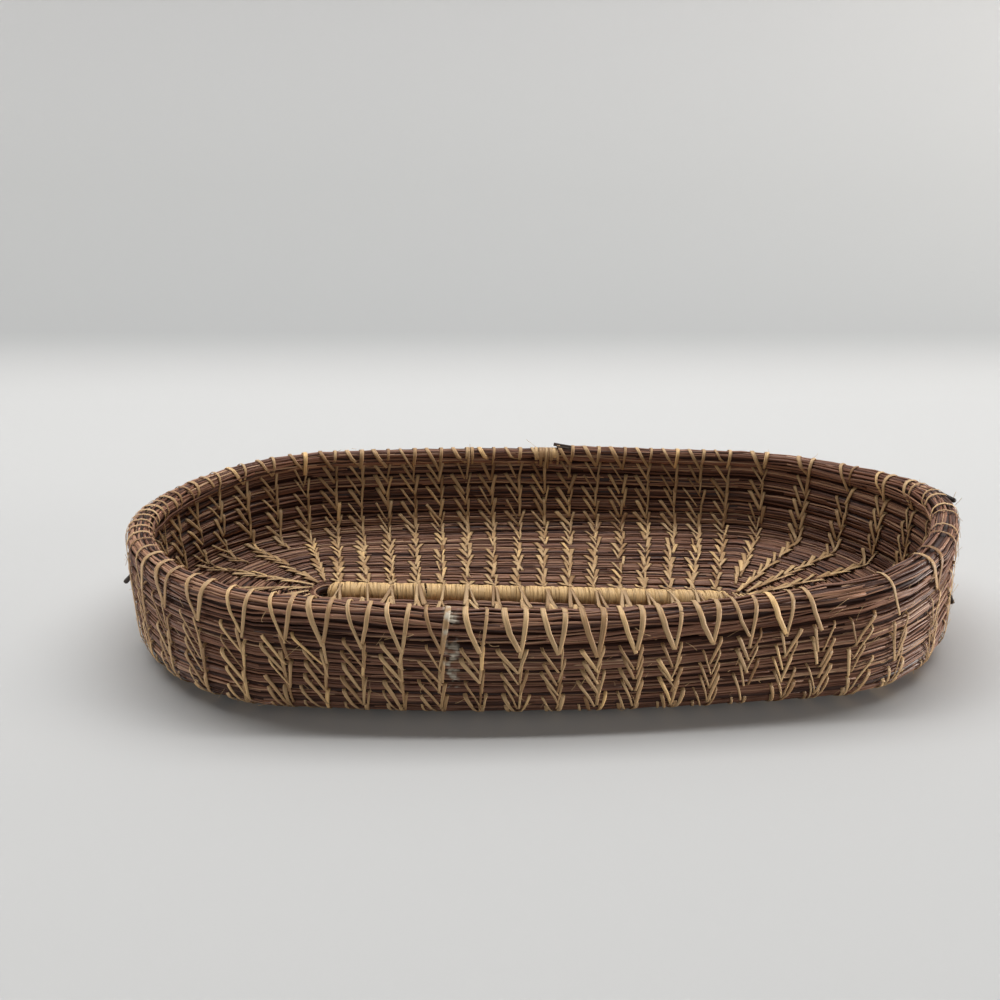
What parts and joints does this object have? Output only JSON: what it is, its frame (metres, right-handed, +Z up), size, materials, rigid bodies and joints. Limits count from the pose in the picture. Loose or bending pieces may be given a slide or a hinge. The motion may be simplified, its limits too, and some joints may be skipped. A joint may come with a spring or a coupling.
{
  "type": "pine needle basket",
  "caption": "Shallow oval basket of coiled pine needles, with a wrapped straight start in its floor, a thick rim and columns of raffia stitches.",
  "frame": {"origin": "middle of the base, on the surface that the basket stands on", "axes": "+X along the basket's length, towards the end where the rows climb, +Y towards the long side with the rim's cut end, +Z up out of the open top"},
  "size_m": [0.2782, 0.1516, 0.041],
  "materials": {
    "needles": "dry matte needle bundles",
    "rim_needles": "dry matte needle bundles, a little paler",
    "raffia": "dry straw-coloured strand with a slight sheen"
  },
  "bodies": {
    "root": {"start_core": "needles", "start_wrap": "raffia", "floor_coil": "needles", "wall_coil": "needles", "rim_coil": "rim_needles", "stitch_back_01": "raffia", "stitch_back_02": "raffia", "stitch_back_03": "raffia", "stitch_back_04": "raffia", "stitch_back_05": "raffia", "stitch_back_06": "raffia", "stitch_back_07": "raffia", "stitch_back_08": "raffia", "stitch_back_09": "raffia", "stitch_back_10": "raffia", "stitch_back_11": "raffia", "stitch_back_12": "raffia", "stitch_back_13": "raffia", "stitch_back_14": "raffia", "stitch_back_15": "raffia", "stitch_back_16": "raffia", "stitch_left_01": "raffia", "stitch_left_02": "raffia", "stitch_left_03": "raffia", "stitch_left_04": "raffia", "stitch_left_05": "raffia", "stitch_left_06": "raffia", "stitch_left_07": "raffia", "stitch_left_08": "raffia", "stitch_left_09": "raffia", "stitch_left_10": "raffia", "stitch_front_01": "raffia", "stitch_front_02": "raffia", "stitch_front_03": "raffia", "stitch_front_04": "raffia", "stitch_front_05": "raffia", "stitch_front_06": "raffia", "stitch_front_07": "raffia", "stitch_front_08": "raffia", "stitch_front_09": "raffia", "stitch_front_10": "raffia", "stitch_front_11": "raffia", "stitch_front_12": "raffia", "stitch_front_13": "raffia", "stitch_front_14": "raffia", "stitch_front_15": "raffia", "stitch_front_16": "raffia", "stitch_right_01": "raffia", "stitch_right_02": "raffia", "stitch_right_03": "raffia", "stitch_right_04": "raffia", "stitch_right_05": "raffia", "stitch_right_06": "raffia", "stitch_right_07": "raffia", "stitch_right_08": "raffia", "stitch_right_09": "raffia", "stitch_right_10": "raffia"}
  },
  "joints": []
}
